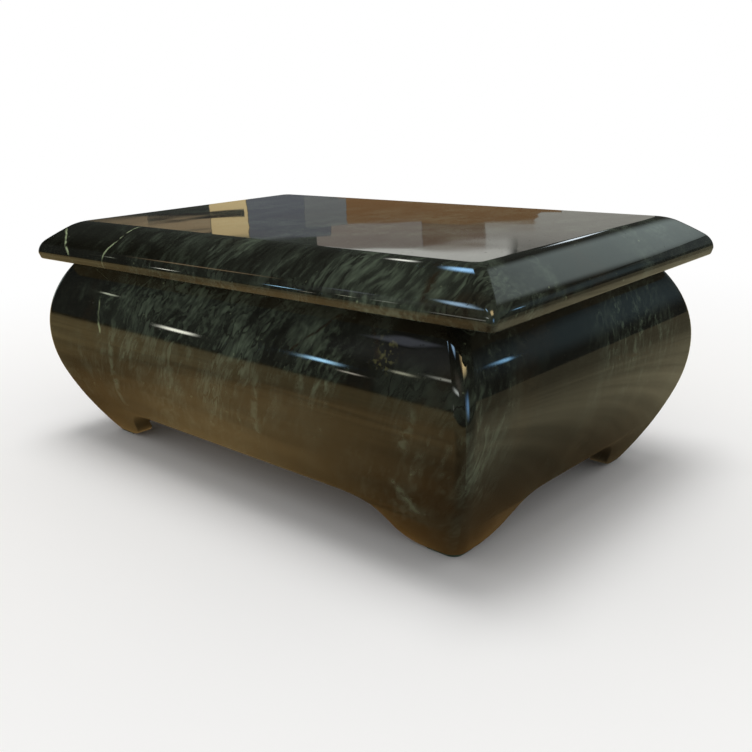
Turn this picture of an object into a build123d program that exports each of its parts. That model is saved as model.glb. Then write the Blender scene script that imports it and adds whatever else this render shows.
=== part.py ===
from build123d import *
import os

# Green marble keepsake box: a casket of four mitred, swelling walls on ogee bracket feet, with a
# loose bevelled lid. Millimetres, +Z up. The origin is on the table under the box's middle, +X
# runs along the long side and -Y is the front.

# The casket, measured where it swells most
body_length = 270.8
body_width = 170.6
body_height = 92.5
wall = 8.5
corner_radius = 5.0

# The swelling curve of a wall: heights above the feet, and how far it draws in from the swell
swell_height = 55.5
flank_height = 33.0
flank_tuck = 3.9
foot_tuck = 20.9
rim_tuck = 14.5

# The apron under the floor, and the heights of the ogee that drops from it to each foot
apron_height = 18.0
knee_drop = 2.7
heel_height = 7.6

# Lengths along a long wall, one after the other from the foot's outer corner to the apron
long_toe = 15.5
long_heel = 12.0
long_knee = 6.3
long_sweep = 15.7

# The same along a short wall
short_toe = 12.0
short_heel = 12.5
short_knee = 6.0
short_sweep = 9.5

# The floor, which the walls are glued up around, and its lining
floor_rise = 2.0
floor_thickness = 9.0
glue_line = 0.3
lining_thickness = 2.0
lining_gap = 0.8

# The lid, and the runs and heights of its edge, taken from the nose inwards and up
lid_reach = 1.6
lid_thickness = 17.8
lid_hip_radius = 3.0
bevel_run = 19.4
crown_run = 7.8
crown_drop = 2.3
nose_run = 3.2
nose_height = 3.0
nose_rise = 6.5
under_run = 0.8

# How far the loose lid lies off the casket's middle, and its turn in degrees. The box as a whole
# is centred on the origin, so the casket stands that far the other way.
lid_shift_x = 3.3
lid_shift_y = 3.1
lid_turn = 1.2

# The plate under the lid that keeps it in place, with the play that lets it lie off the middle
locator_thickness = 6.0
locator_play = 6.0
locator_radius = 3.0
locator_chamfer = 1.2

# The felt under the feet
felt_thickness = 1.0
felt_margin = 0.9

# Heights above the table
foot_z = felt_thickness
apron_z = foot_z + apron_height
floor_z = apron_z + floor_rise
floor_top_z = floor_z + floor_thickness
rim_z = foot_z + body_height
lid_top_z = rim_z + lid_thickness

# Half sizes, from the middle of the box
half_length = body_length / 2
half_width = body_width / 2
foot_half_length = half_length - foot_tuck
foot_half_width = half_width - foot_tuck
mouth_half_length = half_length - rim_tuck - wall
mouth_half_width = half_width - rim_tuck - wall
lid_half_length = half_length + lid_reach
lid_half_width = half_width + lid_reach

# Where the casket's pieces and the lid's pieces go in the box
casket_place = Location((-lid_shift_x, -lid_shift_y, 0))
lid_place = Location((0, 0, 0), (0, 0, lid_turn))

# How far a cut runs past what it cuts
over = 2.0

os.makedirs("parts", exist_ok=True)


def save(piece, label, place):
    """Moves a finished piece to its place in the box and writes it under its name."""
    with BuildPart() as placed:
        with Locations(place):
            add(piece)
    placed.part.label = label
    export_step(placed.part, f"parts/{label}.step")


def swelling_section(plane, half_span, past=0.0):
    """The casket's cross-section: three tangent arcs a side, from the foot out to the swell
    and in to the rim. Past runs both ends on straight, for a core that cuts right through."""
    foot = (half_span - foot_tuck, foot_z)
    flank = (half_span - flank_tuck, foot_z + flank_height)
    swell = (half_span, foot_z + swell_height)
    rim = (half_span - rim_tuck, rim_z)
    low = (foot[0], foot_z - past)
    high = (rim[0], rim_z + past)
    with BuildSketch(plane) as section:
        with BuildLine():
            TangentArc(swell, rim, tangent=(0, 1))
            belly = TangentArc(swell, flank, tangent=(0, -1))
            TangentArc(flank, foot, tangent=belly % 1)
            if past:
                Line(foot, low)
                Line(rim, high)
            Polyline(low, (0, low[1]), (0, high[1]), high)
        make_face()
        mirror(about=Plane.YZ)
    return section.sketch


def swelling_block(skin, past=0.0):
    """A solid with the casket's swelling sides, drawn in all round by skin."""
    with BuildPart() as block:
        long_view = swelling_section(Plane.XZ.offset(half_width), half_length - skin, past)
        extrude(long_view, amount=body_width, dir=(0, 1, 0))
        end_view = swelling_section(Plane.YZ.offset(-half_length), half_width - skin, past)
        extrude(end_view, amount=body_length, dir=(1, 0, 0), mode=Mode.INTERSECT)
    return block.part


# The ring of stone that the four walls make, its upright corners rounded outside, square inside
with BuildPart() as ring:
    add(swelling_block(0))
    fillet(ring.edges().filter_by(GeomType.ELLIPSE), corner_radius)
    add(swelling_block(wall, over), mode=Mode.SUBTRACT)


def arch(plane, foot_half, toe_length, heel_length, knee_length, sweep_length):
    """The opening under one wall: a level apron that sweeps down into an ogee at each foot."""
    toe = (foot_half - toe_length, foot_z)
    heel = (toe[0] - heel_length, foot_z + heel_height)
    knee = (heel[0] - knee_length, apron_z - knee_drop)
    sweep_end = (knee[0] - sweep_length, apron_z)
    below = foot_z - over
    with BuildSketch(plane) as opening:
        with BuildLine():
            toe_arc = TangentArc(toe, heel, tangent=(-1, 0))
            TangentArc(heel, knee, tangent=toe_arc % 1)
            TangentArc(sweep_end, knee, tangent=(1, 0))
            Polyline(sweep_end, (0, apron_z), (0, below), (toe[0], below), toe)
        make_face()
        mirror(about=Plane.YZ)
    return opening.sketch


def mitred_wall(label, plan, opening, outwards):
    """One wall: the ring inside a plan that ends in two mitres, with its arch cut through."""
    with BuildPart() as stone:
        add(ring.part)
        with BuildSketch():
            with BuildLine():
                Polyline(*plan, close=True)
            make_face()
        extrude(amount=rim_z + over, mode=Mode.INTERSECT)
        extrude(opening, amount=half_length + over, dir=outwards, mode=Mode.SUBTRACT)
    save(stone.part, label, casket_place)


# The mitres run in at 45 degrees from the corners and meet on the long middle line
mitre_x = half_length - half_width
far_x = half_length + over
far_y = half_width + over

long_arch = arch(Plane.XZ, foot_half_length, long_toe, long_heel, long_knee, long_sweep)
for label, out in (("wall_front", -1), ("wall_back", 1)):
    long_plan = [(-far_x, out * far_y), (far_x, out * far_y), (mitre_x, 0), (-mitre_x, 0)]
    mitred_wall(label, long_plan, long_arch, (0, out, 0))

short_arch = arch(Plane.YZ, foot_half_width, short_toe, short_heel, short_knee, short_sweep)
for label, out in (("wall_left", -1), ("wall_right", 1)):
    short_plan = [(out * far_x, -far_y), (out * far_x, far_y), (out * mitre_x, 0)]
    mitred_wall(label, short_plan, short_arch, (out, 0, 0))


def layer(label, skin, low_z, high_z):
    """A level piece that fills the casket between two heights, its edge skin inside the swell."""
    with BuildPart() as sheet:
        add(swelling_block(skin))
        split(bisect_by=Plane.XY.offset(low_z), keep=Keep.TOP)
        split(bisect_by=Plane.XY.offset(high_z), keep=Keep.BOTTOM)
    save(sheet.part, label, casket_place)


layer("floor_slab", wall + glue_line, floor_z, floor_top_z)
layer("floor_lining", wall + lining_gap, floor_top_z, floor_top_z + lining_thickness)


def lid_section(plane, half_span):
    """The lid's cross-section: a level top that rolls over into a convex bevel, a round nose,
    and an edge that cuts back a little below it."""
    top_edge = (half_span - bevel_run, lid_top_z)
    crown_end = (top_edge[0] + crown_run, lid_top_z - crown_drop)
    nose = (half_span, rim_z + nose_height)
    nose_top = (half_span - nose_run, nose[1] + nose_rise)
    under = (half_span - under_run, rim_z)
    with BuildSketch(plane) as section:
        with BuildLine():
            crown = TangentArc(top_edge, crown_end, tangent=(1, 0))
            bevel = TangentArc(crown_end, nose_top, tangent=crown % 1)
            TangentArc(nose_top, nose, tangent=bevel % 1)
            Polyline(nose, under, (0, rim_z), (0, lid_top_z), top_edge)
        make_face()
        mirror(about=Plane.YZ)
    return section.sketch


with BuildPart() as lid_slab:
    long_view = lid_section(Plane.XZ.offset(lid_half_width), lid_half_length)
    extrude(long_view, amount=2 * lid_half_width, dir=(0, 1, 0))
    end_view = lid_section(Plane.YZ.offset(-lid_half_length), lid_half_width)
    extrude(end_view, amount=2 * lid_half_length, dir=(1, 0, 0), mode=Mode.INTERSECT)
    hips = lid_slab.edges().filter_by(lambda e: abs(e.center().X) > 1 and abs(e.center().Y) > 1)
    fillet(hips, lid_hip_radius)
save(lid_slab.part, "lid_slab", lid_place)

with BuildPart() as lid_locator:
    locator_length = 2 * (mouth_half_length - locator_play)
    locator_width = 2 * (mouth_half_width - locator_play)
    with BuildSketch(Plane.XY.offset(rim_z)):
        RectangleRounded(locator_length, locator_width, locator_radius)
    extrude(amount=-locator_thickness)
    chamfer(lid_locator.faces().sort_by(Axis.Z)[0].edges(), locator_chamfer)
save(lid_locator.part, "lid_locator", lid_place)


def foot_felt(label, side_x, side_y):
    """The felt under one foot: an L along both walls, drawn in from the edge of the stone."""
    breadth = wall - 2 * felt_margin
    outer_x = foot_half_length - felt_margin
    outer_y = foot_half_width - felt_margin
    inner_x = outer_x - breadth
    inner_y = outer_y - breadth
    end_x = foot_half_length - long_toe + felt_margin
    end_y = foot_half_width - short_toe + felt_margin
    outline = [(outer_x, outer_y), (end_x, outer_y), (end_x, inner_y),
               (inner_x, inner_y), (inner_x, end_y), (outer_x, end_y)]
    with BuildPart() as felt:
        with BuildSketch() as plan:
            with BuildLine():
                Polyline(*[(side_x * x, side_y * y) for x, y in outline], close=True)
            make_face()
            outermost = plan.vertices().sort_by(lambda v: abs(v.X) + abs(v.Y))[-1]
            fillet(outermost, corner_radius - felt_margin)
        extrude(amount=felt_thickness)
    save(felt.part, label, casket_place)


for face, side_y in (("front", -1), ("back", 1)):
    for end, side_x in (("left", -1), ("right", 1)):
        foot_felt(f"foot_felt_{face}_{end}", side_x, side_y)
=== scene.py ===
import bpy
import bmesh
from math import cos, pi, radians, sin, sqrt
from mathutils import Euler, Matrix, Vector


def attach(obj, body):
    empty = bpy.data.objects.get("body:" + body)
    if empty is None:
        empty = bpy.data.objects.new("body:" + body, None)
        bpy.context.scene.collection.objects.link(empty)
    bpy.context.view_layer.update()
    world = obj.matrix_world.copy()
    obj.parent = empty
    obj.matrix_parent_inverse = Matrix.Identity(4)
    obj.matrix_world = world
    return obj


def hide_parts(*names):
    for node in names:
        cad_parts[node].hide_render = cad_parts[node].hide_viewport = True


# %% [markdown]
# # A green marble keepsake box
# The object is a stone casket on four bracket feet, with a loose lid. The CAD pieces give the
# sizes and the joint, and this lesson gives the box its rounded corners, polish and veins.
# Everything is in metres, with the table at height 0, the front towards -Y and up along +Z.

# %% Load the frame
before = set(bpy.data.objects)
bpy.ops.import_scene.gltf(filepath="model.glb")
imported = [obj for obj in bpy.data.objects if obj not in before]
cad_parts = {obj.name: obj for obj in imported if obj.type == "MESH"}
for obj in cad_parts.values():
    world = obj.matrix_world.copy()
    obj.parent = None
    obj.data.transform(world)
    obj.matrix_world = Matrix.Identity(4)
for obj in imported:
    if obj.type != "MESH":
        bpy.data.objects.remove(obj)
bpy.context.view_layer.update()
print("CAD pieces:", sorted(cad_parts))

# %% [markdown]
# ## Camera
# The picture was taken by hand from close by, above the near corner, with the horizon tipped by
# two degrees. The place, angles and lens come from matching the lid's corners and the walls'
# outlines. An aim is made of three turns: round the upright, up or down, and the roll.

# %% Camera
camera_place = (0.29229, -0.30140, 0.16293)
camera_round = 43.262
camera_down = 17.073
camera_roll = -1.985
focal_pixels = 891.6
middle_pixels = (372.65, 376.04)
picture_pixels = 752

camera_data = bpy.data.cameras.new("camera")
camera_data.sensor_width = 36
camera_data.lens = focal_pixels / picture_pixels * camera_data.sensor_width
camera_data.shift_x = (picture_pixels / 2 - middle_pixels[0]) / picture_pixels
camera_data.shift_y = (middle_pixels[1] - picture_pixels / 2) / picture_pixels
camera_data.clip_start = 0.01
camera = bpy.data.objects.new("camera", camera_data)
bpy.context.collection.objects.link(camera)
bpy.context.scene.camera = camera
aim = Euler((radians(90 - camera_down), 0, radians(camera_round))).to_matrix()
aim = aim @ Matrix.Rotation(radians(camera_roll), 3, "Z")
camera.location = camera_place
camera.rotation_euler = aim.to_euler()
print("lens in mm:", round(camera_data.lens, 1))

# %% [markdown]
# ## Working by hand, in code
# Each new piece starts as a plain primitive and is shaped in edit mode, one operator after the
# other. An operator acts on all that is selected, so everything is let go before each piece,
# and the edges and faces it needs are picked by their place.

# %% Helpers for picking and finishing


def mm(*lengths):
    """Millimetres as metres, one value or a tuple."""
    metres = tuple(length / 1000 for length in lengths)
    return metres if len(metres) > 1 else metres[0]


def let_go():
    """Leaves edit mode with nothing selected, as each new piece and operator needs."""
    if bpy.context.object and bpy.context.object.mode != "OBJECT":
        bpy.ops.object.mode_set(mode="OBJECT")
    bpy.ops.object.select_all(action="DESELECT")


def newest(name):
    """Names the primitive that was just added."""
    piece = bpy.context.object
    piece.name = piece.data.name = name
    return piece


def only(piece):
    """Makes piece the one selected and active object, in object mode."""
    let_go()
    piece.select_set(True)
    bpy.context.view_layer.objects.active = piece


def edit(piece, mode):
    """Opens piece in edit mode, to pick VERT, EDGE or FACE."""
    only(piece)
    bpy.ops.object.mode_set(mode="EDIT")
    bpy.ops.mesh.select_mode(type=mode)


def pick(piece, kind, wanted):
    """In edit mode, picks the edges or faces that wanted says yes to, and counts them."""
    bpy.ops.mesh.select_all(action="DESELECT")
    shape = bmesh.from_edit_mesh(piece.data)
    picked = [part for part in getattr(shape, kind) if wanted(part)]
    for part in picked:
        part.select_set(True)
    shape.select_flush_mode()
    bmesh.update_edit_mesh(piece.data)
    return len(picked)


def copy_of(piece, name):
    """A copy of piece with its own mesh."""
    twin = piece.copy()
    twin.data = piece.data.copy()
    twin.name = twin.data.name = name
    bpy.context.collection.objects.link(twin)
    return twin


def close_up(piece, smooth=20):
    """Turns the faces outwards and shades round what bends by less than smooth degrees."""
    edit(piece, "VERT")
    bpy.ops.mesh.select_all(action="SELECT")
    bpy.ops.mesh.normals_make_consistent(inside=False)
    bpy.ops.object.mode_set(mode="OBJECT")
    bpy.ops.object.shade_smooth_by_angle(angle=radians(smooth))
    size = [round(1000 * v, 1) for v in piece.dimensions]
    print(f"{piece.name}: {len(piece.data.polygons)} faces, {size} mm")


# %% [markdown]
# ## The swelling curve
# The walls lean out from the feet, swell a little above the middle, and draw in again to the
# rim. On the real box this is ground and polished by eye. Three arcs that meet without a kink
# follow it closely. An arc is fixed by its two ends and the way it sets off, so a small helper
# finds its circle, and the same helper serves the feet and the lid's edge.

# %% Arcs


def tangent_arc(start, end, heading):
    """The circle that leaves start along heading and reaches end, and its heading there."""
    heading = Vector(heading).normalized()
    side = Vector((-heading.y, heading.x))
    chord = Vector(end) - Vector(start)
    radius = chord.length_squared / (2 * chord.dot(side))
    across = chord.normalized()
    onward = 2 * heading.dot(across) * across - heading
    return {"centre": Vector(start) + radius * side, "radius": abs(radius),
            "start": Vector(start), "end": Vector(end), "onward": onward}


def at_height(arc, height):
    """How far out the arc is at a height."""
    rise = height - arc["centre"].y
    run = sqrt(max(arc["radius"] ** 2 - rise ** 2, 0))
    middle = (arc["start"].x + arc["end"].x) / 2
    return min((arc["centre"].x - run, arc["centre"].x + run), key=lambda out: abs(out - middle))


def along(arc, steps):
    """Points evenly along the arc from just past its start to its end."""
    centre = arc["centre"]
    first = arc["start"] - centre
    turn = first.angle_signed(arc["end"] - centre)
    return [centre + Matrix.Rotation(-turn * n / steps, 2) @ first for n in range(1, steps + 1)]


# %% The casket's sizes and curve
half_length, half_width = mm(135.4, 85.3)
mitre_x = half_length - half_width
wall = mm(8.5)
foot_height, flank_height, swell_height, rim_height = mm(1, 34, 56.5, 93.5)
foot_tuck, flank_tuck, rim_tuck = mm(20.9, 3.9, 14.5)

top_arc = tangent_arc((0, swell_height), (-rim_tuck, rim_height), (0, 1))
belly_arc = tangent_arc((0, swell_height), (-flank_tuck, flank_height), (0, -1))
foot_arc = tangent_arc((-flank_tuck, flank_height), (-foot_tuck, foot_height), belly_arc["onward"])


def tuck(height):
    """How far the outside of a wall is drawn in at a height."""
    if height > swell_height:
        return -at_height(top_arc, height)
    if height > flank_height:
        return -at_height(belly_arc, height)
    return -at_height(foot_arc, height)


print("tuck in mm by height:", [round(1000 * tuck(mm(z)), 2) for z in (1, 19, 34, 56.5, 75, 93.5)])

# %% [markdown]
# ## The casket's four walls
# A mason cuts four slabs with mitred ends, glues them into a ring, and grinds the rounding over
# the glued corners. So the ring is modelled first, as one block that rises level by level and
# is resized at each to follow the curve. The inside goes back down the same way. The levels
# lie closer together near the feet, where the arches need them.

# %% A block that rises by levels


def raise_block(name, levels):
    """A closed block that rises through levels: height, half length, half width."""
    height, half_x, half_y = levels[0]
    let_go()
    bpy.ops.mesh.primitive_plane_add(size=2, location=(0, 0, 0))
    block = newest(name)
    edit(block, "FACE")
    bpy.ops.mesh.select_all(action="SELECT")
    bpy.ops.transform.resize(value=(half_x, half_y, 1), center_override=(0, 0, 0))
    bpy.ops.transform.translate(value=(0, 0, height))
    rise_on(levels)
    return block


def rise_on(levels):
    """Extrudes the picked face from the first level on through the rest."""
    for (z, x, y), (next_z, next_x, next_y) in zip(levels, levels[1:]):
        bpy.ops.mesh.extrude_region_move(TRANSFORM_OT_translate={"value": (0, 0, next_z - z)})
        bpy.ops.transform.resize(value=(next_x / x, next_y / y, 1), center_override=(0, 0, 0))


# %% The ring of stone
apron_height = mm(19)
low_steps = 20
high_steps = 40
low_levels = [foot_height + (apron_height - foot_height) * (1 - cos(pi * n / low_steps)) / 2
              for n in range(low_steps + 1)]
high_levels = [apron_height + (rim_height - apron_height) * n / high_steps
               for n in range(1, high_steps + 1)]
heights = low_levels + high_levels

outside = [(z, half_length - tuck(z), half_width - tuck(z)) for z in heights]
inside = [(z, x - wall, y - wall) for z, x, y in outside]
ring = raise_block("ring", outside)
bpy.ops.mesh.inset(thickness=wall, use_even_offset=True)
rise_on(inside[::-1])

# %% Open the ring's foot
same_place = 5e-6


def lies_at(height):
    """A test for parts of a mesh that lie level at this height."""
    return lambda part: all(abs(corner.co.z - height) < same_place for corner in part.verts)


pick(ring, "faces", lies_at(foot_height))
bpy.ops.mesh.delete(type="FACE")
open_edges = pick(ring, "edges", lambda edge: edge.is_boundary)
bpy.ops.mesh.bridge_edge_loops()
close_up(ring)
print("open edges bridged at the foot:", open_edges)

# %% Round the glued corners
corner_radius = mm(5)


def climb(edge):
    """How much higher one end of an edge is than the other."""
    return abs(edge.verts[0].co.z - edge.verts[1].co.z)


def on_mitre(edge):
    """Whether an edge climbs along a mitre of the casket, which the lid's hips lie over."""
    low = edge.verts[0].co
    return climb(edge) > same_place and abs(abs(low.x) - abs(low.y) - mitre_x) < same_place


def outer_corner(edge):
    """Whether an edge climbs one of the ring's four outer corners."""
    middle_of_wall = half_length - tuck(edge.verts[0].co.z) - wall / 2
    return on_mitre(edge) and abs(edge.verts[0].co.x) > middle_of_wall


edit(ring, "EDGE")
corner_edges = pick(ring, "edges", outer_corner)
bpy.ops.mesh.bevel(offset=corner_radius, segments=12, affect="EDGES", clamp_overlap=False)
bpy.ops.object.mode_set(mode="OBJECT")
print("corner edges rounded:", corner_edges)

# %% [markdown]
# ## The arches between the feet
# Under each wall a level apron sweeps down in a double curve to a bracket foot. A mason saws it
# out with a template. The template here is a block whose half length at each level is where the
# curve is, and a Boolean takes it out of the ring. Its levels are the ring's own levels, so the
# cut leaves no slivers, and the new edges can then be eased.

# %% The arch's curve
toe_height = foot_height
heel_height, knee_height = mm(8.6, 16.3)
long_toe, short_toe = mm(15.5, 12)


def arch_curve(foot_half, toe_length, heel_length, knee_length, sweep_length):
    """The opening's half length at a height, as a function, from lengths along the wall."""
    toe = (foot_half - toe_length, toe_height)
    heel = (toe[0] - heel_length, heel_height)
    knee = (heel[0] - knee_length, knee_height)
    sweep_end = (knee[0] - sweep_length, apron_height)
    toe_arc = tangent_arc(toe, heel, (-1, 0))
    heel_arc = tangent_arc(heel, knee, toe_arc["onward"])
    sweep_arc = tangent_arc(sweep_end, knee, (1, 0))

    def half_opening(height):
        if height <= heel_height:
            return at_height(toe_arc, height)
        if height <= knee_height:
            return at_height(heel_arc, height)
        return at_height(sweep_arc, height)

    return half_opening


long_arch = arch_curve(half_length - foot_tuck, long_toe, *mm(12, 6.3, 15.7))
short_arch = arch_curve(half_width - foot_tuck, short_toe, *mm(12.5, 6, 9.5))
print("long arch half lengths in mm:", [round(1000 * long_arch(z), 1) for z in low_levels[::5]])

# %% Saw out the arches
past = mm(2)
reach_x, reach_y = half_length + past, half_width + past
saw_levels = [(foot_height - past, foot_height)] + [(z, z) for z in low_levels]
long_cut = [(z, long_arch(on_curve), reach_y) for z, on_curve in saw_levels]
short_cut = [(z, reach_x, short_arch(on_curve)) for z, on_curve in saw_levels]
for name, levels in (("long_saw", long_cut), ("short_saw", short_cut)):
    saw = raise_block(name, levels)
    close_up(saw)
    only(ring)
    cut = ring.modifiers.new("cut", "BOOLEAN")
    cut.operation = "DIFFERENCE"
    cut.solver = "EXACT"
    cut.object = saw
    bpy.ops.object.modifier_apply(modifier=cut.name)
    bpy.data.objects.remove(saw)
print("ring after the saw:", len(ring.data.polygons), "faces")

# %% Ease the arrises, but not the steep ones that the mitres will cut
arris = mm(0.5)
steep = 0.3
edit(ring, "EDGE")
bpy.ops.mesh.select_all(action="SELECT")
bpy.ops.mesh.remove_doubles(threshold=1e-7)
bpy.ops.mesh.select_all(action="DESELECT")
bpy.ops.mesh.edges_select_sharp(sharpness=radians(40))
shape = bmesh.from_edit_mesh(ring.data)
for edge in shape.edges:
    level = (edge.verts[0].co - edge.verts[1].co).xy.length
    if edge.select and on_mitre(edge) and climb(edge) > steep * level:
        edge.select_set(False)
shape.select_flush_mode()
print("arris edges:", sum(edge.select for edge in shape.edges))
bpy.ops.mesh.bevel(offset=arris, segments=2, affect="EDGES", clamp_overlap=True)
close_up(ring)

# %% [markdown]
# ## Cut the ring into its four slabs
# The glue lines run in at 45 degrees from the corners. Each wall is a copy of the ring that two
# upright planes bisect, with the cut faces filled. All four end up as their own closed solids,
# so the veining can change from slab to slab, as it does on the real box.

# %% Mitre the walls
walls = {}
for name, way in (("wall_front", (0, -1)), ("wall_back", (0, 1)),
                  ("wall_left", (-1, 0)), ("wall_right", (1, 0))):
    slab = copy_of(ring, name + "_stone")
    edit(slab, "EDGE")
    side_x, side_y = way
    for turn in (-1, 1):
        normal = (turn, -side_y, 0) if side_y else (-side_x, turn, 0)
        point = (turn * mitre_x, 0, 0) if side_y else (side_x * mitre_x, 0, 0)
        bpy.ops.mesh.select_all(action="SELECT")
        bpy.ops.mesh.bisect(plane_co=point, plane_no=normal, use_fill=True, clear_outer=True,
                            threshold=1e-6)
    close_up(slab)
    walls[name] = slab
bpy.data.objects.remove(ring)

# %% [markdown]
# ## Floor slab
# A plain slab is glued in between the walls, two millimetres above the apron. Its edges follow
# the inside of the curve with a thin glue line, so it is raised through a few levels too.

# %% Floor slab
glue_line, floor_arris = mm(0.3, 0.4)
floor_low, floor_high = mm(21, 30)
floor_levels = [floor_low + (floor_high - floor_low) * n / 4 for n in range(5)]
floor_slab = raise_block("floor_stone", [
    (z, half_length - tuck(z) - wall - glue_line, half_width - tuck(z) - wall - glue_line)
    for z in floor_levels])
pick(floor_slab, "edges", lambda edge: lies_at(floor_low)(edge) or lies_at(floor_high)(edge))
bpy.ops.mesh.bevel(offset=floor_arris, segments=2, affect="EDGES")
close_up(floor_slab)

# %% [markdown]
# ## Lid
# The lid is one thick slab. Its flat top rolls over into a wide bevel, which ends in a round
# nose, and the edge cuts back a little under that. Seen in section it is three arcs and a line,
# so it rises by levels like the casket. The hips between the bevels are rounded by hand on the
# polishing wheel, and a Bevel on the hip edges does that here.

# %% The lid's edge in section
lid_reach, lid_thickness, under_run = mm(1.6, 17.8, 0.8)
nose_height, nose_rise, nose_run = mm(3, 6.5, 3.2)
bevel_run, crown_run, crown_drop = mm(19.4, 7.8, 2.3)
lid_half_length, lid_half_width = half_length + lid_reach, half_width + lid_reach
lid_top = rim_height + lid_thickness
under = (-under_run, rim_height)
nose = (0, rim_height + nose_height)
nose_top = (-nose_run, nose[1] + nose_rise)
top_edge = (-bevel_run, lid_top)
crown_end = (top_edge[0] + crown_run, lid_top - crown_drop)

crown_arc = tangent_arc(top_edge, crown_end, (1, 0))
bevel_arc = tangent_arc(crown_end, nose_top, crown_arc["onward"])
nose_arc = tangent_arc(nose_top, nose, bevel_arc["onward"])
edge_down = [Vector(top_edge)] + along(crown_arc, 14) + along(bevel_arc, 8) + along(nose_arc, 14)
edge_up = [Vector(under)] + edge_down[::-1]
lid_levels = [(point.y, lid_half_length + point.x, lid_half_width + point.x) for point in edge_up]

# %% Raise the lid and round its hips
hip_round, nose_round, under_round = mm(2.6, 0.3, 0.9)
lid = raise_block("lid_stone", lid_levels)
edit(lid, "EDGE")
hips = pick(lid, "edges", on_mitre)
bpy.ops.mesh.bevel(offset=hip_round, segments=10, affect="EDGES", clamp_overlap=False)
nose_edges = pick(lid, "edges", lies_at(nose[1]))
bpy.ops.mesh.bevel(offset=nose_round, segments=2, affect="EDGES")
under_edges = pick(lid, "edges", lies_at(under[1]))
bpy.ops.mesh.bevel(offset=under_round, segments=5, affect="EDGES")
close_up(lid)
print("hip edges:", hips, "nose edges:", nose_edges, "under edges:", under_edges)

# %% [markdown]
# ## Locator plate
# A thinner plate is glued under the lid and drops into the mouth, so that the lid can't slide
# off. It isn't seen while the lid is down. Its corners are rounded and its lower edge is
# chamfered to find the mouth. It has six millimetres of play, which lets the lid lie askew.

# %% Locator plate
locator_play, locator_thickness, locator_radius, locator_chamfer = mm(6, 6, 3, 1.2)
locator_half_x = half_length - rim_tuck - wall - locator_play
locator_half_y = half_width - rim_tuck - wall - locator_play
locator_low = rim_height - locator_thickness
locator = raise_block("locator_stone", [
    (z, locator_half_x, locator_half_y) for z in (locator_low, rim_height)])
edit(locator, "EDGE")
pick(locator, "edges", lambda edge: climb(edge) > same_place)
bpy.ops.mesh.bevel(offset=locator_radius, segments=8, affect="EDGES")
pick(locator, "edges", lies_at(locator_low))
bpy.ops.mesh.bevel(offset=locator_chamfer, segments=1, affect="EDGES")
close_up(locator)

# %% [markdown]
# ## Lining
# A loose sheet of felt lies on the floor slab, so that keepsakes don't rattle. Felt cut with
# shears never lies quite flat. A grid gives it points enough to lift a little here and there,
# Solidify gives it its thickness, and a Bevel softens the edge that the shears left.

# %% Lining
lining_gap, lining_seat, lining_wave = mm(0.8, 0.05, 0.25)
lining_thickness, lining_edge = mm(1.8, 0.6)
lining_half_x = half_length - tuck(floor_high) - wall - lining_gap
lining_half_y = half_width - tuck(floor_high) - wall - lining_gap
let_go()
bpy.ops.mesh.primitive_grid_add(x_subdivisions=90, y_subdivisions=52, size=2)
lining = newest("lining_sheet")
edit(lining, "VERT")
bpy.ops.mesh.select_all(action="SELECT")
bpy.ops.transform.resize(value=(lining_half_x, lining_half_y, 1), center_override=(0, 0, 0))
bpy.ops.transform.translate(value=(0, 0, floor_high + lining_seat))
bpy.ops.object.mode_set(mode="OBJECT")
for corner in lining.data.vertices:
    x, y = corner.co.x, corner.co.y
    lift = sin(41 * x + 2.1) * sin(57 * y + 0.6) + 0.5 * sin(97 * x - 63 * y)
    rim = max(abs(x) / lining_half_x, abs(y) / lining_half_y) ** 8
    corner.co.z += lining_wave * max(lift, 0) * (0.4 + rim)
thicken = lining.modifiers.new("thicken", "SOLIDIFY")
thicken.thickness = lining_thickness
thicken.offset = 1
soften = lining.modifiers.new("soften", "BEVEL")
soften.width = lining_edge
soften.segments = 3
soften.limit_method = "ANGLE"
soften.angle_limit = radians(60)
only(lining)
for step in ("thicken", "soften"):
    bpy.ops.object.modifier_apply(modifier=step)
close_up(lining, 50)

# %% [markdown]
# ## Felt under the feet
# Four small pieces of felt keep the stone from scratching the table. Each is an L that follows
# the two mitred brackets of a foot and stays just inside their edge. One is modelled, from a
# square that is extruded both ways, and the other three are its mirrored copies.

# %% Felt under the feet
felt_thickness, felt_edge = mm(1, 0.9)
felt_breadth = wall - 2 * felt_edge
felt_x = half_length - foot_tuck - felt_edge
felt_y = half_width - foot_tuck - felt_edge
felt_round = corner_radius - felt_edge
long_arm = long_toe - 2 * felt_edge - felt_breadth
short_arm = short_toe - 2 * felt_edge - felt_breadth
let_go()
bpy.ops.mesh.primitive_plane_add(size=felt_breadth, location=(0, 0, 0))
felt = newest("felt_back_right")
edit(felt, "EDGE")
bpy.ops.mesh.select_all(action="SELECT")
bpy.ops.transform.translate(value=(felt_x - felt_breadth / 2, felt_y - felt_breadth / 2, 0))
pick(felt, "edges", lambda edge: all(c.co.x < felt_x - felt_breadth / 2 for c in edge.verts))
bpy.ops.mesh.extrude_region_move(TRANSFORM_OT_translate={"value": (-long_arm, 0, 0)})
pick(felt, "edges", lambda edge: all(c.co.y < felt_y - felt_breadth / 2
                                     and c.co.x > felt_x - felt_breadth - same_place
                                     for c in edge.verts))
bpy.ops.mesh.extrude_region_move(TRANSFORM_OT_translate={"value": (0, -short_arm, 0)})
bpy.ops.mesh.select_all(action="SELECT")
bpy.ops.mesh.extrude_region_move(TRANSFORM_OT_translate={"value": (0, 0, felt_thickness)})
pick(felt, "edges", lambda edge: all(c.co.x > felt_x - same_place and c.co.y > felt_y - same_place
                                     for c in edge.verts))
bpy.ops.mesh.bevel(offset=felt_round, segments=6, affect="EDGES")
close_up(felt, 40)
felts = {"foot_felt_back_right": felt}
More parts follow.
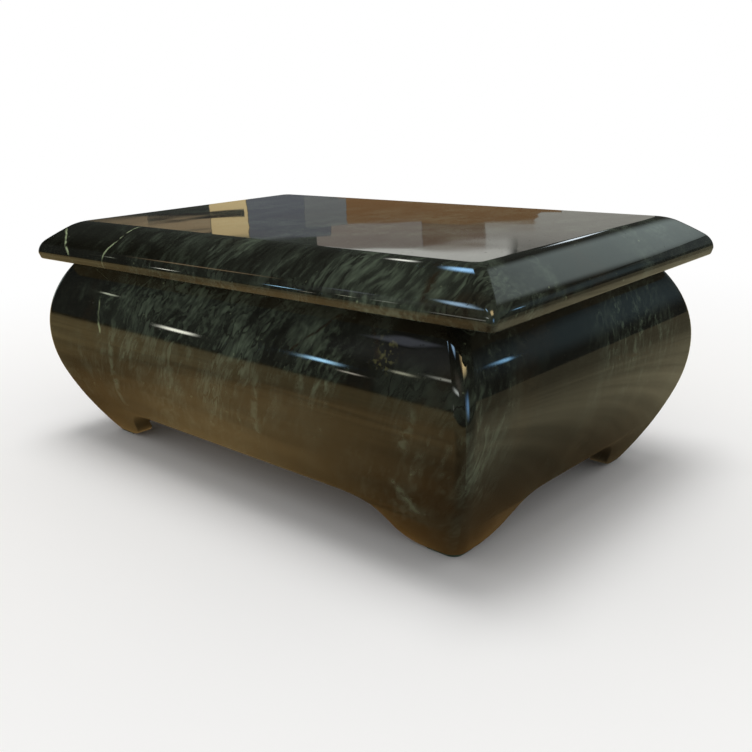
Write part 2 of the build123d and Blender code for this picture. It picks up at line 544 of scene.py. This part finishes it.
for name, flip in (("foot_felt_back_left", (-1, 1, 1)), ("foot_felt_front_right", (1, -1, 1)),
                   ("foot_felt_front_left", (-1, -1, 1))):
    twin = copy_of(felt, name.replace("foot_", ""))
    only(twin)
    twin.scale = flip
    bpy.ops.object.transform_apply(location=False, rotation=False, scale=True)
    close_up(twin, 40)
    felts[name] = twin

# %% [markdown]
# ## Put the pieces where they lie
# In the photograph the loose lid lies a few millimetres off the casket's middle and is turned a
# little. The frame's middle is that of the whole box, so the casket moves by the offset and the
# lid turns about the origin. The moves are applied, so every object stays at the origin.

# %% Move into place
lid_right, lid_back = mm(3.3, 3.1)
lid_turn = 1.2
for piece in (*walls.values(), floor_slab, lining, *felts.values()):
    only(piece)
    piece.location = (-lid_right, -lid_back, 0)
    bpy.ops.object.transform_apply(location=True, rotation=False, scale=False)
for piece in (lid, locator):
    only(piece)
    piece.rotation_euler = (0, 0, radians(lid_turn))
    bpy.ops.object.transform_apply(location=False, rotation=True, scale=False)

# %% Tie the pieces to the frame
marble_pieces = {**walls, "floor_slab": floor_slab, "lid_slab": lid, "lid_locator": locator}
for node, piece in marble_pieces.items():
    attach(piece, "lid" if node.startswith("lid") else "casket")
    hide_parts(node)
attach(lining, "casket")
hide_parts("floor_lining")
for node, piece in felts.items():
    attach(piece, "casket")
    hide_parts(node)
print("pieces tied:", len(marble_pieces) + 1 + len(felts))

# %% [markdown]
# ## Shader helpers
# All finishes are procedural and read Object coordinates. As every piece keeps its place in its
# mesh, a pattern runs on from piece to piece, as veins do in one block of stone, until a piece
# is given its own shift. These helpers place a node and join its sockets.

# %% Helpers for nodes


def place(tree, kind, **settings):
    """Adds a shader node with these settings to a tree."""
    node = tree.nodes.new("ShaderNode" + kind)
    for key, value in settings.items():
        setattr(node, key, value)
    return node


def feed(tree, socket, source):
    """Joins source to a socket, or sets the socket to it if it is a plain value."""
    if isinstance(source, bpy.types.NodeSocket):
        tree.links.new(source, socket)
    else:
        socket.default_value = source


def use(tree, kind, **sockets):
    """Places a node or a group with its sockets fed by name, and gives its outputs."""
    if isinstance(kind, str):
        node = place(tree, kind)
    else:
        node = place(tree, "Group", node_tree=kind)
    for name, source in sockets.items():
        feed(tree, node.inputs[name.replace("_", " ")], source)
    return node.outputs


def in_order(tree, node, terms, out=0):
    """Feeds a node's sockets one after the other and gives one output."""
    for socket, term in zip(node.inputs, terms):
        feed(tree, socket, term)
    return node.outputs[out]


def sums(tree, operation, *terms):
    """A Math node on one, two or three terms."""
    return in_order(tree, place(tree, "Math", operation=operation), terms)


def vectors(tree, operation, *terms):
    """A Vector Math node on its terms. A length and a dot product come out as a value."""
    node = place(tree, "VectorMath", operation=operation)
    return in_order(tree, node, terms, 1 if operation in ("LENGTH", "DOT_PRODUCT") else 0)


def cloud(tree, vector, scale, detail, rough=0.5):
    """A Noise texture's value, from 0 to 1."""
    return use(tree, "TexNoise", Vector=vector, Scale=scale, Detail=detail, Roughness=rough)[0]


def ramp(tree, value, low, high, out_low=0.0, out_high=1.0):
    """Maps value smoothly from low and high to out_low and out_high."""
    node = place(tree, "MapRange", interpolation_type="SMOOTHSTEP")
    return in_order(tree, node, (value, low, high, out_low, out_high))


def blend(tree, mask, low, high):
    """The colour low where mask is 0 and high where it is 1."""
    node = place(tree, "Mix", data_type="RGBA")
    for number, source in ((0, mask), (6, low), (7, high)):
        feed(tree, node.inputs[number], source)
    return node.outputs[2]


def new_group(name, inputs, outputs):
    """A shader node group, the values it is given and those it puts out. A socket's kind comes
    from its first value: a number, a vector of three or a colour of four."""
    group = bpy.data.node_groups.new(name, "ShaderNodeTree")
    kinds = {1: "NodeSocketFloat", 3: "NodeSocketVector", 4: "NodeSocketColor"}
    for way, sockets in (("INPUT", inputs), ("OUTPUT", outputs)):
        for socket, first in sockets.items():
            kind = kinds[len(first) if isinstance(first, tuple) else 1]
            item = group.interface.new_socket(socket, in_out=way, socket_type=kind)
            item.default_value = first
    given = group.nodes.new("NodeGroupInput").outputs
    return group, given, group.nodes.new("NodeGroupOutput").inputs


# %% Helpers for materials


def new_material(name):
    """A material with an empty tree, and that tree."""
    material = bpy.data.materials.new(name)
    material.use_nodes = True
    material.node_tree.nodes.clear()
    return material, material.node_tree


def object_space(tree):
    """Object coordinates."""
    return use(tree, "TexCoord")["Object"]


def bump(tree, height, strength, depth):
    """The normal of a surface with this height."""
    return use(tree, "Bump", Height=height, Strength=strength, Distance=depth)["Normal"]


def end_in(tree, shader, kind="Material"):
    """Shows a shader as the material's or world's surface."""
    use(tree, "Output" + kind, Surface=shader)


def coat(piece, material):
    """Gives a piece one material all over."""
    piece.data.materials.clear()
    piece.data.materials.append(material)


# %% [markdown]
# ## Stone effects
# Serpentine marble is a crushed green rock. Seen close it has soft clouds of lighter green, fine
# feathery streaks where it was sheared, thin pale veins that filled old cracks, and dark ones
# that didn't. Each effect is a node group with its own inputs, so that all the pieces share it.
# The first group turns and squeezes space along the shear, and any noise read there comes out
# drawn into streaks.

# %% Shear group
at_zero = (0, 0, 0)
shear_group, given, result = new_group(
    "along_the_shear", {"Vector": at_zero, "Lean": at_zero, "Stretch": 0.2}, {"Vector": at_zero})
curl = use(shear_group, "TexNoise", Vector=given["Vector"], Scale=26.0, Detail=3.0)
curl = vectors(shear_group, "SUBTRACT", curl["Color"], (0.5, 0.5, 0.5))
curl = vectors(shear_group, "MULTIPLY", curl, (0.012, 0.012, 0.012))
turned = place(shear_group, "VectorRotate", rotation_type="EULER_XYZ")
feed(shear_group, turned.inputs["Vector"], vectors(shear_group, "ADD", given["Vector"], curl))
feed(shear_group, turned.inputs["Rotation"], given["Lean"])
squeeze = use(shear_group, "CombineXYZ", X=given["Stretch"], Y=1.0, Z=1.0)[0]
feed(shear_group, result["Vector"],
     vectors(shear_group, "MULTIPLY", turned.outputs["Vector"], squeeze))

# %% Vein group
vein_group, given, result = new_group(
    "thin_veins", {"Vector": at_zero, "Scale": 10.0, "Width": 0.02, "Gaps": 0.5}, {"Mask": 0.0})
field = cloud(vein_group, given["Vector"], given["Scale"], 3.0, 0.55)
off_middle = sums(vein_group, "ABSOLUTE", sums(vein_group, "SUBTRACT", field, 0.5))
line = ramp(vein_group, off_middle, 0.0, given["Width"], 1.0, 0.0)
broken = cloud(vein_group, given["Vector"], 21.0, 2.0)
kept = ramp(vein_group, broken, given["Gaps"], sums(vein_group, "ADD", given["Gaps"], 0.10))
feed(vein_group, result["Mask"], sums(vein_group, "MULTIPLY", line, kept))

# %% [markdown]
# ## Veins and patches in their places
# Most of the stone's pattern is left to chance, but a few marks are easy to know the box by: two
# pale veins over the lid's left end, patches that are nearly black, a few of paler feathers and a
# spot of yellow specks. Two small nearly black patches, just under the lid's edge at the near
# corner, are painted shade of the lid's overhang. Each is laid through a point. A vein is the thin
# zone about a plane there, bent a little by noise, and a patch is a soft ball with a ragged edge.

# %% Placed vein and patch groups
seam_group, given, result = new_group(
    "placed_vein", {"Vector": at_zero, "Through": at_zero, "Across": (1, 0, 0), "Width": 0.001,
                    "Reach": 0.03, "Wander": 0.006}, {"Mask": 0.0})
away = vectors(seam_group, "SUBTRACT", given["Vector"], given["Through"])
waver = sums(seam_group, "SUBTRACT", cloud(seam_group, given["Vector"], 75.0, 4.0), 0.5)
waver = sums(seam_group, "MULTIPLY", waver, given["Wander"])
offset = vectors(seam_group, "DOT_PRODUCT", away, given["Across"])
offset = sums(seam_group, "ABSOLUTE", sums(seam_group, "ADD", offset, waver))
line = ramp(seam_group, offset, 0.0, given["Width"], 1.0, 0.0)
fade_start = sums(seam_group, "MULTIPLY", given["Reach"], 0.6)
fade = ramp(seam_group, vectors(seam_group, "LENGTH", away), fade_start, given["Reach"], 1.0, 0.0)
ragged = ramp(seam_group, cloud(seam_group, given["Vector"], 240.0, 3.0), 0.36, 0.56)
shown = sums(seam_group, "MULTIPLY", fade, ragged)
feed(seam_group, result["Mask"], sums(seam_group, "MULTIPLY", line, shown))

patch_group, given, result = new_group(
    "placed_patch", {"Vector": at_zero, "Middle": at_zero, "Reach": 0.01}, {"Mask": 0.0})
away = vectors(patch_group, "SUBTRACT", given["Vector"], given["Middle"])
near = sums(patch_group, "DIVIDE", vectors(patch_group, "LENGTH", away), given["Reach"])
edge = cloud(patch_group, given["Vector"], 110.0, 3.0)
near = sums(patch_group, "ADD", near, sums(patch_group, "MULTIPLY_ADD", edge, 1.6, -0.8))
feed(patch_group, result["Mask"], ramp(patch_group, near, 0.35, 1.1, 1.0, 0.0))

# %% Polish group
polish_group, given, result = new_group(
    "hand_polish", {"Vector": at_zero, "Gloss": 0.03, "Wear": 0.04},
    {"Roughness": 0.0, "Height": 0.0})
hazy = ramp(polish_group, cloud(polish_group, given["Vector"], 14.0, 3.0), 0.45, 0.75)
pits = ramp(polish_group, cloud(polish_group, given["Vector"], 900.0, 1.0), 0.72, 0.80)
uneven = sums(polish_group, "MULTIPLY", hazy, given["Wear"])
uneven = sums(polish_group, "MULTIPLY_ADD", pits, 0.25, uneven)
feed(polish_group, result["Roughness"], sums(polish_group, "ADD", given["Gloss"], uneven))
swells = cloud(polish_group, given["Vector"], 26.0, 1.0)
feed(polish_group, result["Height"], sums(polish_group, "MULTIPLY_ADD", pits, -0.02, swells))
print("stone effects:", [group.name for group in bpy.data.node_groups])

# %% [markdown]
# ## Green marble
# The colour is laid down in the order the rock was made: a nearly black ground, green clouds,
# shear streaks, dark and pale veins, and a few specks. Low on the walls the clouds and feathers are
# darkened towards the feet, which is painted shade. Each piece is cut from another part of the
# block, so each has its own shift, and the joints show as a break in the veining. Streaks
# that point out of a face show as dots, so each kind of slab has its own lean, which lays them
# nearly in its face. The polish is close to a mirror, with the faint swells of a hand-held pad.

# %% Marble
ground = (0.0060, 0.0056, 0.0037, 1)
cloud_green = (0.033, 0.040, 0.029, 1)
feather_green = (0.105, 0.135, 0.090, 1)
vein_green = (0.36, 0.43, 0.25, 1)
speck_yellow = (0.20, 0.19, 0.07, 1)
rust_brown = (0.017, 0.011, 0.005, 1)
tones = {"pale": vein_green, "dark": rust_brown, "soft": feather_green}
short_streaks, long_streaks = 0.42, 0.24
up_long_walls = (0.0, 1.05, 0.0)
up_short_walls = (0.0, 1.38, -0.41)
up_the_bevel = (0.0, 1.17, -0.93)
painted_shade_low, painted_shade_high = 0.020, 0.072
refraction = 1.5


def marble(name, shift, lean=up_long_walls, veins=(), patches=(), greener=0.0):
    """Polished green marble, cut from the block at shift, with its streaks turned by lean."""
    material, tree = new_material(name)
    here = object_space(tree)
    block = vectors(tree, "ADD", here, shift)
    short = use(tree, shear_group, Vector=block, Lean=lean, Stretch=short_streaks)[0]
    long = use(tree, shear_group, Vector=block, Lean=lean, Stretch=long_streaks)[0]

    def times(mask, other):
        return sums(tree, "MULTIPLY", mask, other)

    def patch_masks(kind):
        return [use(tree, patch_group, Vector=here, Middle=middle, Reach=reach)[0]
                for own_kind, middle, reach in patches if own_kind == kind]

    # Painted shade: from 72 mm down to 20 mm the clouds and feathers fade to 0.38 of their
    # strength, and the nearly black patches darken them further.
    height = use(tree, "SeparateXYZ", Vector=here)["Z"]
    painted_shade_and_patches = ramp(tree, height, painted_shade_low, painted_shade_high, 0.38, 1.0)
    for patch in patch_masks("black"):
        painted_shade_and_patches = times(painted_shade_and_patches, sums(tree, "MULTIPLY_ADD", patch, -0.92, 1.0))

    broad = cloud(tree, short, 15.0, 3.0, 0.55)
    body = cloud(tree, short, 85.0, 3.0, 0.45)
    hatch = cloud(tree, long, 520.0, 3.0, 0.55)
    mixed = sums(tree, "MULTIPLY_ADD", body, 0.44, times(broad, 0.38))
    mixed = sums(tree, "MULTIPLY_ADD", hatch, 0.18, mixed)
    mottle = ramp(tree, mixed, 0.39 - greener, 0.69 - greener)
    colour = blend(tree, times(mottle, painted_shade_and_patches), ground, cloud_green)

    strong = ramp(tree, broad, 0.44 - greener, 0.64 - greener)
    for patch in patch_masks("feathers"):
        strong = sums(tree, "MAXIMUM", strong, patch)
    feather = ramp(tree, sums(tree, "MULTIPLY_ADD", hatch, 0.6, times(body, 0.4)), 0.43, 0.74)
    wisps = times(times(feather, strong), painted_shade_and_patches)
    colour = blend(tree, times(wisps, 0.72), colour, feather_green)
    elsewhere = vectors(tree, "ADD", block, (3, 1, 2))
    stain = ramp(tree, cloud(tree, elsewhere, 24.0, 4.0), 0.55, 0.68)
    colour = blend(tree, times(stain, 0.6), colour, rust_brown)

    cracks = use(tree, vein_group, Vector=long, Scale=130.0, Width=0.034, Gaps=0.42)[0]
    colour = blend(tree, times(cracks, 0.8), colour, ground)
    elsewhere = vectors(tree, "ADD", short, (5, 2, 7))
    pale = use(tree, vein_group, Vector=elsewhere, Scale=17.0, Width=0.006, Gaps=0.54)[0]
    colour = blend(tree, times(pale, 0.2), colour, feather_green)
    specks = ramp(tree, cloud(tree, block, 420.0, 2.0), 0.72, 0.80)
    colour = blend(tree, times(times(specks, mottle), 0.5), colour, vein_green)
    for patch in patch_masks("specks"):
        grit = ramp(tree, cloud(tree, block, 520.0, 4.0), 0.50, 0.66)
        colour = blend(tree, times(patch, times(grit, 0.36)), colour, speck_yellow)
    for tone, through, across, width, reach, strength in veins:
        seam = use(tree, seam_group, Vector=here, Through=through, Across=across, Width=width,
                   Reach=reach)[0]
        colour = blend(tree, times(seam, strength), colour, tones[tone])

    polish = use(tree, polish_group, Vector=block, Gloss=0.03, Wear=0.04)
    stone = use(tree, "BsdfPrincipled", Base_Color=colour, IOR=refraction,
                Roughness=polish["Roughness"], Normal=bump(tree, polish["Height"], 0.07, 0.002))
    end_in(tree, stone[0])
    return material


# %% Cut each piece from its part of the block
cuts = {
    "wall_front": {"shift": (0.0, 0.0, 0.0), "greener": 0.025, "veins": [
        ("pale", (-0.0881, -0.0856, 0.0702), (-0.98, -0.05, -0.21), 0.0011, 0.013, 0.6),
        ("soft", (-0.0800, -0.0820, 0.047), (-0.97, -0.1, 0.20), 0.0035, 0.028, 0.5),
        ("dark", (0.0861, -0.0804, 0.0844), (-0.81, -0.3, -0.5), 0.0022, 0.014, 0.85),
        ("dark", (0.0573, -0.081, 0.0823), (0.64, -0.37, -0.67), 0.0010, 0.022, 0.9),
        ("soft", (0.1067, -0.0884, 0.0560), (-0.95, 0, 0.30), 0.0034, 0.010, 0.40),
        ("soft", (0.0993, -0.0819, 0.0274), (-0.90, 0, -0.42), 0.0034, 0.010, 0.40),
        ("soft", (0.0252, -0.0881, 0.0480), (-0.97, 0, 0.22), 0.0030, 0.018, 0.40)],
        "patches": [("black", (-0.1270, -0.0860, 0.0680), 0.056),
                    # Painted shade: this small nearly black patch lies just under the lid's edge at
                    # the near corner, in the shade of the lid's overhang.
                    ("black", (0.1220, -0.0790, 0.0870), 0.014),
                    ("specks", (0.093, -0.0831, 0.0799), 0.008),
                    ("feathers", (0.0179, -0.0838, 0.0784), 0.022),
                    ("feathers", (0.0600, -0.0840, 0.0720), 0.020)]},
    "wall_right": {"shift": (0.37, 0.11, 0.05), "lean": up_short_walls, "greener": -0.03, "veins": [
        ("dark", (0.1319, 0.0421, 0.0601), (0.07, -0.09, -0.99), 0.0008, 0.040, 0.9)],
        # Painted shade: the first patch lies just under the lid's edge at the near corner, in the
        # shade of the lid's overhang.
        "patches": [("black", (0.1270, -0.0720, 0.0870), 0.014),
                    ("feathers", (0.1303, 0.0312, 0.0702), 0.030)]},
    "wall_back": {"shift": (0.71, 0.43, 0.21)},
    "wall_left": {"shift": (0.13, 0.59, 0.33), "lean": up_short_walls},
    "floor_slab": {"shift": (0.91, 0.07, 0.55)},
    "lid_slab": {"shift": (0.29, 0.83, 0.67), "lean": up_the_bevel, "greener": 0.04, "veins": [
        ("pale", (-0.1132, -0.0844, 0.1028), (-0.68, -0.52, -0.52), 0.0010, 0.016, 0.95),
        ("pale", (-0.0726, -0.0800, 0.1058), (-0.98, 0.16, 0.14), 0.0008, 0.016, 0.8),
        ("dark", (0.1089, -0.0759, 0.1057), (-0.95, -0.27, -0.17), 0.0030, 0.013, 0.9)],
        "patches": [("black", (-0.1120, -0.0800, 0.1040), 0.100),
                    ("black", (0.1280, -0.0150, 0.1040), 0.055),
                    ("feathers", (0.1217, -0.077, 0.1052), 0.018),
                    ("feathers", (0.0877, -0.0786, 0.1044), 0.022)]},
    "lid_locator": {"shift": (0.53, 0.31, 0.93)}}
for node, piece in marble_pieces.items():
    coat(piece, marble("marble_" + node, **cuts[node]))
print("marble materials:", len(cuts))

# %% [markdown]
# ## Felt
# Felt has no weave, only matted fibres. Two sizes of noise give the matting its patches and its
# nap, in colour, roughness and bump. Sheen brightens the fibres that stand up at the edges. The
# lining is loose and a little fluffy, and the pieces under the feet are pressed flat.

# %% Felt group
felt_group, given, result = new_group(
    "matted_fibres",
    {"Vector": at_zero, "Dark": (0, 0, 0, 1), "Light": (1, 1, 1, 1), "Fibre": 900.0},
    {"Colour": (0, 0, 0, 1), "Roughness": 0.0, "Height": 0.0})
matting = cloud(felt_group, given["Vector"], 70.0, 4.0)
fibres = [cloud(felt_group, vectors(felt_group, "MULTIPLY", given["Vector"], drawn_out),
                given["Fibre"], 3.0, 0.7) for drawn_out in ((1, 0.35, 1), (0.35, 1, 1))]
nap = sums(felt_group, "MAXIMUM", *fibres)
tone = sums(felt_group, "MULTIPLY_ADD", matting, 0.5, sums(felt_group, "MULTIPLY", nap, 0.6))
tone = ramp(felt_group, tone, 0.40, 0.80)
feed(felt_group, result["Colour"], blend(felt_group, tone, given["Dark"], given["Light"]))
feed(felt_group, result["Roughness"], ramp(felt_group, matting, 0.3, 0.7, 0.82, 0.98))
feed(felt_group, result["Height"], nap)

# %% Felt materials


def felt_finish(name, dark, light, fibre, depth):
    """Matted felt between two colours, with fibres of this scale and nap of this depth."""
    material, tree = new_material(name)
    mat = use(tree, felt_group, Vector=object_space(tree), Dark=dark, Light=light, Fibre=fibre)
    cloth = use(tree, "BsdfPrincipled", Base_Color=mat["Colour"],
                Roughness=mat["Roughness"], Normal=bump(tree, mat["Height"], 0.6, depth),
                Sheen_Weight=0.4, Sheen_Roughness=0.5, Specular_IOR_Level=0.2)
    end_in(tree, cloth[0])
    return material


coat(lining, felt_finish("lining_felt", (0.012, 0.045, 0.025, 1), (0.04, 0.12, 0.07, 1),
                         700, 0.0008))
pressed = felt_finish("foot_felt", (0.010, 0.028, 0.016, 1), (0.03, 0.075, 0.045, 1),
                      1100, 0.0003)
for piece in felts.values():
    coat(piece, pressed)
print("felt materials on", 1 + len(felts), "pieces")

# %% [markdown]
# ## Floor and white backdrop
# The box stands on a plain pale floor. Near the box the floor is matt paint that takes the soft
# shadow. Further out it turns into plain white for whatever looks at it straight or in a
# reflection, so it meets the white world without a horizon. Light Path tells such rays from the
# soft light that the world sheds on everything.

# %% Floor


def looked_at(tree):
    """1 for rays from the camera, a reflection or through glass, and 0 for scattered light."""
    rays = use(tree, "LightPath")
    seen = sums(tree, "MAXIMUM", rays["Is Camera Ray"], rays["Is Glossy Ray"])
    return sums(tree, "MAXIMUM", seen, rays["Is Transmission Ray"])


def either(tree, mask, first, second):
    """The shader first where mask is 0 and second where it is 1."""
    return in_order(tree, place(tree, "MixShader"), (mask, first, second))


just_under = 0.0002
let_go()
bpy.ops.mesh.primitive_plane_add(size=40, location=(0, 0, -just_under))
floor = newest("studio_floor")
floor_paint, tree = new_material("floor_paint")
paint = use(tree, "BsdfPrincipled", Base_Color=(0.93, 0.925, 0.915, 1), Roughness=0.9,
            Specular_IOR_Level=0.1)
white = use(tree, "Emission")
far_off = ramp(tree, vectors(tree, "LENGTH", object_space(tree)), 0.18, 0.55)
plain = sums(tree, "MULTIPLY", far_off, looked_at(tree))
end_in(tree, either(tree, plain, paint[0], white[0]))
coat(floor, floor_paint)

# %% World
world = bpy.data.worlds.new("studio")
bpy.context.scene.world = world
world.use_nodes = True
tree = world.node_tree
tree.nodes.clear()
room_grey = 0.57
room = use(tree, "Background", Color=(room_grey, room_grey, room_grey, 1))[0]
backdrop = use(tree, "Background", Color=(1, 1, 1, 1))[0]
end_in(tree, either(tree, looked_at(tree), room, backdrop), "World")
print("even light of the room:", room_grey)

# %% [markdown]
# ## Soft light
# One square panel, high above and a little behind, adds to the even light of the room and gives
# the floor its soft shadow. The larger and nearer a panel is, the softer the shadow's edge. The
# polish would mirror it as a white square, so reflections don't see it, and get cards instead.

# %% Panel of light
panel_data = bpy.data.lights.new("top_panel", "AREA")
panel_data.shape = "SQUARE"
panel_data.size = 1.1
panel_data.energy = 31
panel = bpy.data.objects.new("top_panel", panel_data)
bpy.context.collection.objects.link(panel)
panel.location = (-0.1, 0.1, 2.6)
panel.rotation_euler = (-panel.location).to_track_quat("-Z", "Y").to_euler()
panel.visible_glossy = False
print("panel of light in m:", round(panel_data.size, 2), "at", panel.location[:])

# %% [markdown]
# ## What the polish reflects
# A polished dark stone shows its surroundings more than its own colour. White all round would
# turn it grey, so photographers hang dark cloth round such a thing and stand cards where they
# want a tone. Here a dim tent surrounds the set, and cards stand for the windows, shelves and
# lamps of a furnished room. Reflections see them, and nothing else does. Each card is placed by
# its direction from the box, found by following the view's reflection off the wall or the lid.
# Its edge fades, as a window does behind a thin curtain.

# %% Tent


def only_reflected(thing, material, glow):
    """Has a stage piece glow in this colour, and hides it from everything but reflections."""
    tree = material.node_tree
    end_in(tree, use(tree, "Emission", Color=glow)[0])
    coat(thing, material)
    thing.visible_camera = False
    thing.visible_diffuse = False
    thing.visible_transmission = False
    thing.visible_shadow = False


tent_tone = (0.045, 0.05, 0.045, 1)
let_go()
bpy.ops.mesh.primitive_uv_sphere_add(segments=32, ring_count=16, radius=3.2)
tent = newest("tent")
only_reflected(tent, new_material("tent_cloth")[0], tent_tone)

# %% Soft-edged cards
fade_group, given, result = new_group(
    "soft_edge", {"Vector": at_zero, "Soft": 0.2}, {"Mask": 0.0})
inwards = vectors(fade_group, "ABSOLUTE", given["Vector"])
sides = use(fade_group, "SeparateXYZ",
            Vector=vectors(fade_group, "SUBTRACT", (0.5, 0.5, 0.5), inwards))
fade_x, fade_y = (ramp(fade_group, sides[axis], 0.0, given["Soft"]) for axis in "XY")
feed(fade_group, result["Mask"], sums(fade_group, "MULTIPLY", fade_x, fade_y))

box_middle = Vector((0, 0, 0.06))


def card(name, distance, around, up, wide, high, soft, tone, roll=0):
    """A card by its angles in degrees: where it is round the box (0 in front, -90 left) and up,
    how wide and high it looks, and how far it is rolled. Soft is the share that fades."""
    turn, rise, tilt = radians(around), radians(up), radians(roll)
    out = Vector((sin(turn) * cos(rise), -cos(turn) * cos(rise), sin(rise)))
    level = Vector((cos(turn), sin(turn), 0))
    along_card = level * cos(tilt) + out.cross(level) * sin(tilt)
    let_go()
    bpy.ops.mesh.primitive_plane_add(size=1, location=box_middle + distance * out)
    sheet = newest(name)
    sheet.scale = (2 * distance * sin(radians(wide / 2)), 2 * distance * sin(radians(high / 2)), 1)
    frame_axes = Matrix((along_card, out.cross(along_card), out)).transposed()
    sheet.rotation_euler = frame_axes.to_euler()
    material, tree = new_material(name)
    mask = use(tree, fade_group, Vector=object_space(tree), Soft=soft)[0]
    only_reflected(sheet, material, blend(tree, mask, tent_tone, (*tone, 1)))


cards = [
    ("dark_corner", -80, 31, 28, 28, 0.3, (0.004, 0.004, 0.003)),
    ("grey_wall", -154.5, 5.5, 7, 11, 0.004, (0.43, 0.42, 0.38)),
    ("grey_block", -151.8, 10, 12.4, 3.2, 0.004, (0.43, 0.42, 0.38)),
    ("brown_block", -143.2, 10.4, 5, 2, 0.004, (0.19, 0.13, 0.09)),
    ("brown_shelf", -143, 4.7, 16.6, 9.4, 0.004, (0.23, 0.13, 0.06)),
    ("pale_shade", -137, 10.2, 7.9, 2.2, 0.004, (0.29, 0.25, 0.22)),
    ("cream_strip", -140.5, 12.1, 15, 1.8, 0.06, (0.90, 0.90, 0.84)),
    ("grey_door", -130.9, 5, 6.4, 10, 0.004, (0.14, 0.15, 0.17)),
    ("grey_jamb", -133.8, 7.6, 3.1, 3.4, 0.004, (0.19, 0.20, 0.20)),
    ("shelf_left", -120.7, 8.3, 9.6, 1.4, 0.01, (0.34, 0.26, 0.16)),
    ("window", -126.6, 5, 2.8, 10, 0.03, (0.72, 0.56, 0.29)),
    ("grey_haze", -39, 26, 17, 28, 0.4, (0.19, 0.20, 0.20)),
    ("window_bar", -124.2, 7.55, 7.0, 0.75, 0.15, (0.03, 0.03, 0.03)),
    ("blue_haze", 148, 12, 26, 20, 0.4, (0.16, 0.23, 0.25)),
    ("back_sill", 167, 12, 44, 15, 0.06, (0.13, 0.16, 0.16)),
    ("back_window", 176, 30, 46, 40, 0.38, (0.72, 0.86, 0.84)),
    ("back_strip", -155, 16.5, 4, 6, 0.3, (2.4, 2.7, 2.9)),
    ("sky_strip", -121, 51.8, 22, 4.2, 0.45, (3.4, 6.4, 10.0), 42),
    ("white_strip", -126, 41, 10, 3, 0.45, (7.0, 7.0, 6.4), 49),
    ("sky_pane", -43, 46.5, 24, 4, 0.45, (5.0, 7.5, 10.0), -47),
    ("warm_strip", -61.5, 30.5, 15, 4, 0.35, (1.9, 1.3, 0.7), 48),
    ("nose_line", -25.5, 4, 8, 5, 0.3, (1.9, 1.9, 1.7)),
    ("left_pane", -84, 6, 14, 16, 0.3, (1.1, 1.4, 1.4)),
    ("lamp", -52.5, 5.3, 3.4, 2.6, 0.45, (13.0, 13.0, 11.0)),
    ("far_lamp", -60.8, 15.3, 1.8, 1.4, 0.45, (4.5, 4.8, 3.6)),
    ("blue_pane", -42.3, 9.5, 4.2, 3, 0.45, (7.0, 12.5, 17.0)),
    ("small_lamp", -39.6, 6.3, 2.2, 1.4, 0.45, (6.0, 5.6, 4.6)),
    ("thin_pane", -37, 13.8, 2.4, 2.4, 0.45, (6.0, 6.0, 4.4)),
    ("violet_pane", -44.4, 32.5, 5, 7.5, 0.3, (0.70, 0.76, 0.90)),
    ("corner_glow", 18, 34, 62, 26, 0.5, (0.52, 0.44, 0.36)),
    ("front_lamp", 4, 24, 76, 6, 0.5, (7.0, 7.4, 7.0), 10),
    ("edge_lamp", -34, 16.5, 3.4, 2.6, 0.5, (4.5, 4.6, 4.0), 12),
    ("high_window", -10, 57, 24, 12, 0.4, (4.2, 6.6, 9.4)),
    ("orange_lamp", 68, 53, 36, 31, 0.35, (9.5, 7.2, 3.6)),
    ("blue_edge", 72, 15, 26, 30, 0.5, (1.7, 3.6, 6.4)),
    ("right_pane", 140.1, 12.4, 1.9, 2.8, 0.45, (2.6, 5.4, 8.2)),
]
card_distance, card_step = 2.5, 0.01
for n, (name, *placing) in enumerate(cards):
    card(name, card_distance - card_step * n, *placing)
print("cards:", len(cards))

# %% [markdown]
# ## The table in the polish
# The lower walls lean out over the table and mirror it. The pale floor would wash out their
# colour, so a glowing brown card lies just over it, which only reflections see, as a painted
# reflection of a table. Close round the box it is darker, a painted shadow of the box, and a
# painted pool of light in front of the box makes it brightest there. It has a faint grain, and
# dims towards the room.

# %% Table card
let_go()
bpy.ops.mesh.primitive_plane_add(size=6.6, location=(0, 0, just_under))
table_card = newest("table_card")
painted_table_reflection, tree = new_material("table_card")
here = object_space(tree)
distance = vectors(tree, "LENGTH", here)
grain = cloud(tree, vectors(tree, "MULTIPLY", here, (1, 6, 1)), 6.0, 5.0, 0.6)
grained = ramp(tree, grain, 0.3, 0.7, 0.75, 1.1)
# Painted shadow: within 0.13 m of the box the brown is dark, and it lightens out to 0.40 m.
brown = blend(tree, ramp(tree, distance, 0.13, 0.40), (0.21, 0.11, 0.03, 1), (0.62, 0.47, 0.21, 1))
# Painted pool of light: a paler brown round a point 0.18 m in front of the box.
painted_light_pool = vectors(tree, "LENGTH", vectors(tree, "SUBTRACT", here, (-0.04, -0.18, 0)))
brown = blend(tree, ramp(tree, painted_light_pool, 0.05, 0.17, 1.0, 0.0), brown, (0.80, 0.54, 0.22, 1))
brown_dims = sums(tree, "MULTIPLY", grained, ramp(tree, distance, 0.8, 2.2, 1.0, 0.1))
brown = vectors(tree, "MULTIPLY", brown, brown_dims)
# Painted shadow here too: the grey is dark within 0.12 m of the box.
grey = blend(tree, ramp(tree, distance, 0.12, 0.22), (0.10, 0.07, 0.035, 1), (0.56, 0.50, 0.31, 1))
grey_dims = sums(tree, "MULTIPLY", grained, ramp(tree, distance, 0.24, 0.6, 1.0, 0.5))
grey = vectors(tree, "MULTIPLY", grey, grey_dims)
parts = use(tree, "SeparateXYZ", Vector=here)
behind = ramp(tree, sums(tree, "ADD", parts["X"], parts["Y"]), -0.02, 0.14)
only_reflected(table_card, painted_table_reflection, blend(tree, behind, brown, grey))

# %% [markdown]
# ## View
# The Standard view shows colours as they are written.

# %% View settings
bpy.context.scene.view_settings.view_transform = "Standard"
